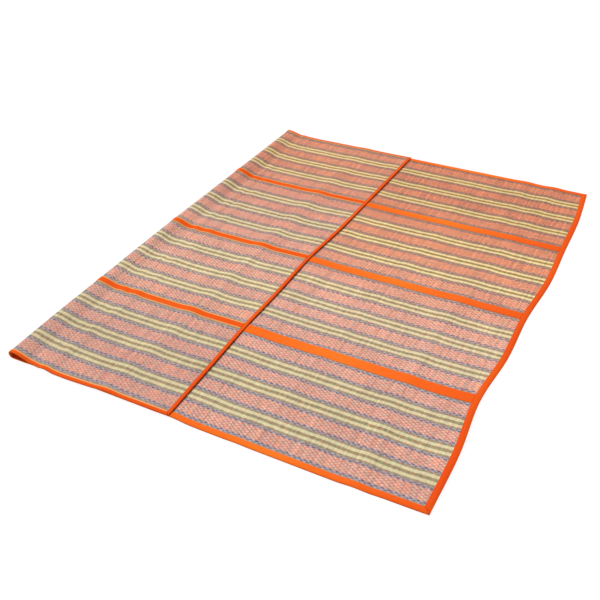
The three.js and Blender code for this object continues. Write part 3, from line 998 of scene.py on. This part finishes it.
def grass_relief(tree, along, scales):
    """Normal of the scales and of the round backs of the stems."""
    rate = math.pi / STEM_WIDTH
    turns = add(tree, "ShaderNodeMath", {0: along, 1: rate}, operation="MULTIPLY")
    wave = add(tree, "ShaderNodeMath", {0: turns}, operation="SINE")
    round_back = add(tree, "ShaderNodeMath", {0: wave}, operation="ABSOLUTE")
    feeds = {0: round_back, 1: 0.3, 2: scales}
    relief = add(tree, "ShaderNodeMath", feeds, operation="MULTIPLY_ADD")
    feeds = {"Strength": 0.4, "Distance": 0.5 * MM, "Height": relief}
    return add(tree, "ShaderNodeBump", feeds).outputs["Normal"]


def woven_grass(name, dyes_and_sheen, lean, cross_share):
    """Dyed grass stems bound by cotton threads in a twill, with a slight waxy sheen.

    It gives the eye striped bands, a fine net of pale scales on salmon red, ropes of two rows
    of blue strands, and stems that each took the dye a little differently. lean is the side that
    the stronger diagonal leans to, and cross_share how much the other diagonal shows.
    """
    material, tree, shader = new_material(name)
    uv, along, across = sheet_place(tree)
    uneven = grass_unevenness(tree, uv)
    fleck = uneven["fleck"]
    woven, from_middle, masks = woven_stripes(tree, uv, across, fleck)
    turns_along = twill_turns(tree, uv, along)
    scales = twill_scales(tree, turns_along, woven, fleck, lean, cross_share)
    panel = add(tree, "ShaderNodeMath", {0: across, 1: PANEL_PITCH}, operation="DIVIDE")
    # Dye colours per panel, with painted sheen: paler and pinker near, more orange far.
    tones = dye_and_sheen_tones(tree, panel, dyes_and_sheen)
    stem_dye = stem_dyes(tree, along, panel)
    strands = rope_strands(tree, turns_along, fleck, masks)
    feeds = {"Factor": 0.25, "A": tones["ink"], "B": tones["olive"]}
    inner_ink = add(tree, "ShaderNodeMix", feeds, data_type="RGBA")
    lines = dashed_lines(tree, uv, along, from_middle, tones)
    colour = salmon_ground(tree, tones, scales, uneven, stem_dye)
    layers = (
        (masks["rope"], tones["rope"]),
        (strands["outer strand"], tones["ink"]),
        (strands["inner strand"], inner_ink.outputs["Result"]),
        (masks["olive"], lines["olive"]),
        (masks["yellow"], tones["yellow"]),
        (masks["dashes"], lines["dash"]),
    )
    for mask, stripe in layers:
        feeds = {"Factor": mask, "A": colour, "B": stripe}
        colour = add(tree, "ShaderNodeMix", feeds, data_type="RGBA").outputs["Result"]
    dyed = uneven_dye(tree, colour, uneven, stem_dye, masks["yellow"])
    tree.links.new(dyed, shader.inputs["Base Color"])
    tree.links.new(grass_relief(tree, along, scales), shader.inputs["Normal"])
    shader.inputs["Roughness"].default_value = 0.6
    shader.inputs["Specular IOR Level"].default_value = 0.35
    return material


# Dye of the tape: a place along it in metres, and its colour there. Long tape counts from the
# fold, with the flap below 0, and cross tape from the near edge.
Dye = namedtuple("Dye", "place colour")
LONG_TAPE = [
    Dye(-0.08, "#dc4a04"),
    Dye(0.0, "#e0540a"),
    Dye(0.6, "#e86014"),
    Dye(0.95, "#ee701c"),
    Dye(1.2, "#e65814"),
    Dye(1.4, "#de4c0c"),
]
CROSS_TAPE = [Dye(0.0, "#d8460a"), Dye(1.0, "#dc4a0a")]

# Threads of the tape lie 0.6 mm apart, drawn 1.5 mm apart so that they show.
THREAD_PITCH = 1.5


def cotton_tape(name, dyes):
    """Plain-woven cotton tape, dyed bright orange, matte, with a paler lip outside the stitching.

    It gives the eye one flat bright colour that changes a little along the tape.
    """
    material, tree, shader = new_material(name)
    uv = add(tree, "ShaderNodeUVMap", uv_map="cloth")
    place = add(tree, "ShaderNodeSeparateXYZ", {0: uv})
    first, final = dyes[0].place, dyes[-1].place
    feeds = {"Value": place.outputs["X"], "From Min": first, "From Max": final}
    ramp = add(tree, "ShaderNodeValToRGB", {"Fac": add(tree, "ShaderNodeMapRange", feeds)})
    set_stops(ramp, [((dye.place - first) / (final - first), srgb(dye.colour)) for dye in dyes])
    fade = add(tree, "ShaderNodeTexNoise", {"Vector": uv, "Scale": 3.0, "Detail": 1.0})
    feeds = {"Value": fade.outputs["Fac"], "From Min": 0.3, "From Max": 0.7, "To Max": 0.25}
    faded = add(tree, "ShaderNodeMapRange", feeds)
    feeds = {"Factor": faded, "A": ramp.outputs["Color"], "B": srgb("#f07a1c")}
    tape = add(tree, "ShaderNodeMix", feeds, data_type="RGBA")
    lip = add(tree, "ShaderNodeAttribute", attribute_name="lip")
    feeds = {"Factor": lip.outputs["Fac"], "A": tape.outputs["Result"], "B": srgb("#e0a066")}
    colour = add(tree, "ShaderNodeMix", feeds, data_type="RGBA")
    tree.links.new(colour.outputs["Result"], shader.inputs["Base Color"])
    waves = []
    for axis in ("X", "Y"):
        feeds = {0: place.outputs[axis], 1: math.pi / (THREAD_PITCH * MM)}
        turns = add(tree, "ShaderNodeMath", feeds, operation="MULTIPLY")
        waves.append(add(tree, "ShaderNodeMath", {0: turns}, operation="SINE"))
    threads = add(tree, "ShaderNodeMath", {0: waves[0], 1: waves[1]}, operation="MULTIPLY")
    feeds = {"Strength": 0.25, "Distance": 0.3 * MM, "Height": threads}
    bumped = add(tree, "ShaderNodeBump", feeds)
    tree.links.new(bumped.outputs["Normal"], shader.inputs["Normal"])
    shader.inputs["Roughness"].default_value = 0.85
    shader.inputs["Specular IOR Level"].default_value = 0.12
    return material


def sewing_thread():
    """Polyester sewing thread, twisted, a shade deeper than the tape, with a soft gloss."""
    material, tree, shader = new_material("orange_sewing_thread")
    place = add(tree, "ShaderNodeTexCoord").outputs["Object"]
    twist = add(tree, "ShaderNodeTexNoise", {"Vector": place, "Scale": 400.0})
    feeds = {"Factor": twist.outputs["Fac"], "A": srgb("#c4400c"), "B": srgb("#dc6020")}
    colour = add(tree, "ShaderNodeMix", feeds, data_type="RGBA")
    tree.links.new(colour.outputs["Result"], shader.inputs["Base Color"])
    shader.inputs["Roughness"].default_value = 0.5
    return material


def studio_floor():
    """White studio floor that glows a little, so that shadows on it stay faint."""
    material, _, shader = new_material("white_studio_floor")
    shader.inputs["Base Color"].default_value = (FLOOR_GREY, FLOOR_GREY, FLOOR_GREY, 1)
    shader.inputs["Roughness"].default_value = 1.0
    shader.inputs["Specular IOR Level"].default_value = 0.0
    shader.inputs["Emission Color"].default_value = (1, 1, 1, 1)
    shader.inputs["Emission Strength"].default_value = FLOOR_GLOW
    bpy.ops.mesh.primitive_plane_add(size=FLOOR_SIZE, location=(0, 0, 0))
    floor = bpy.context.object
    floor.name = "studio_floor"
    floor.data.materials.append(material)
    return floor


def light_studio():
    """Even light from all round, with a broad key from the left and a little behind."""
    world = bpy.data.worlds.new("studio")
    world.use_nodes = True
    bpy.context.scene.world = world
    background = world.node_tree.nodes["Background"]
    background.inputs["Color"].default_value = (1, 1, 1, 1)
    background.inputs["Strength"].default_value = SKY_STRENGTH
    data = bpy.data.lights.new("key", "SUN")
    data.energy = KEY_STRENGTH
    data.angle = math.radians(KEY_SPREAD)
    key = bpy.data.objects.new("key", data)
    bpy.context.scene.collection.objects.link(key)
    key.rotation_euler = Vector(KEY_AIM).to_track_quat("-Z", "Y").to_euler()
    bpy.context.scene.view_settings.view_transform = "Standard"


def make_mat(floor):
    """The panels, then the cloth that joins and binds them, then its sewing."""
    grass = [
        woven_grass("woven_grass_face", FACE_DYES_AND_SHEEN, 1, 0.75),
        woven_grass("woven_grass_back", BACK_DYES_AND_SHEEN, -1, 0.9),
    ]
    long_tape = [cotton_tape("orange_tape_along_the_stripes", LONG_TAPE)]
    cross_tape = [cotton_tape("orange_tape_across_the_stripes", CROSS_TAPE)]
    for index in range(PANEL_COUNT):
        make_panel(index, grass)
    for band in BANDS:
        make_long_cloth(band.name, band_profile(band), None, long_tape)
    near = binding_profile(BINDING_LAP, BACK_LAP)
    far = [(MAT_WIDTH - inset, height, lip) for inset, height, lip in near]
    make_long_cloth("near_edge_binding", near, 0, long_tape)
    make_long_cloth("far_edge_binding", far, MAT_WIDTH, long_tape)
    make_cross_cloth("right_edge_binding", True, cross_tape)
    make_cross_cloth("flap_edge_binding", False, cross_tape)
    sew_cloth([sewing_thread()])


bpy.ops.object.select_all(action="DESELECT")
make_camera()
light_studio()
make_mat(studio_floor())
